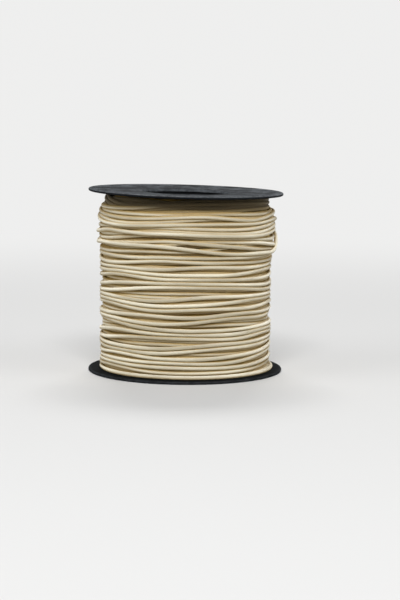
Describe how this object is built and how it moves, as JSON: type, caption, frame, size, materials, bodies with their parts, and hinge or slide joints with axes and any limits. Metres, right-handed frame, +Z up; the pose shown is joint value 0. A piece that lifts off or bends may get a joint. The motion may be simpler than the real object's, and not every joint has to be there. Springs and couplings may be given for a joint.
{
  "type": "filament spool",
  "caption": "Flanged plastic spool on a core tube, wound full with pale cord-like filament, with a straight spindle bore through its axis.",
  "frame": {"origin": "centre of the lower flange's outer face, on the surface that the spool stands on", "axes": "+Z up the spindle bore, from the lower flange to the upper one; +X towards the low side of the upper flange; the ends of the filament are tucked in on the +Y side"},
  "size_m": [0.07, 0.07, 0.0659],
  "materials": {
    "flange_plastic": "satin",
    "tube_plastic": "matte",
    "filament": "soft satin"
  },
  "bodies": {
    "root": {"lower_flange": "flange_plastic", "upper_flange": "flange_plastic", "core_tube": "tube_plastic", "inner_winding": "filament", "outer_turns": "filament"}
  },
  "joints": []
}
